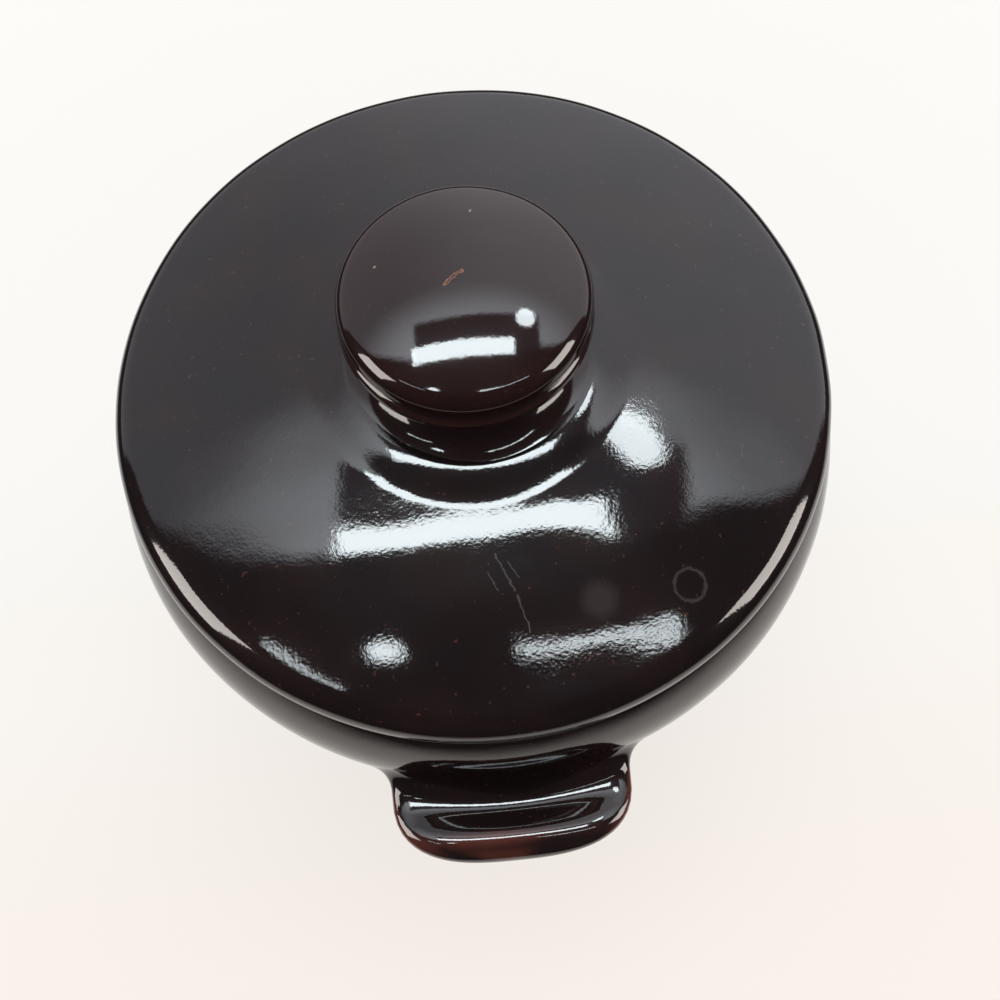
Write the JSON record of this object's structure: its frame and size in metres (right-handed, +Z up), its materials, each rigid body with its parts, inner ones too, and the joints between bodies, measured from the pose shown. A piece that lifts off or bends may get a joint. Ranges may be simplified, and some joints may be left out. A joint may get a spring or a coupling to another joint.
{
  "type": "bean pot",
  "caption": "Squat, round-bellied glazed stoneware pot with a lug handle on each side and a low domed lift-off lid with a large mushroom knob.",
  "frame": {"origin": "middle of the foot ring's flat underside, on the pot's axis", "axes": "+Z up along the pot's axis, +Y from the front lug towards the rear lug, +X to the right"},
  "size_m": [0.177, 0.212, 0.1624],
  "materials": {
    "pot_glaze": "glossy dark brown glaze, unglazed foot ring",
    "lid_glaze": "glossy near-black brown glaze, unglazed where it rests on the rim",
    "knob_glaze": "glossy dark red-brown glaze"
  },
  "bodies": {
    "pot": {"pot_body": "pot_glaze", "front_lug": "pot_glaze", "rear_lug": "pot_glaze"},
    "lid": {"lid": "lid_glaze", "lid_knob": "knob_glaze"}
  },
  "joints": [
    {"name": "lid_lift", "type": "slide", "parent": "pot", "child": "lid", "axis": [0, 0, 1], "range_m": [0, 0.08]}
  ]
}
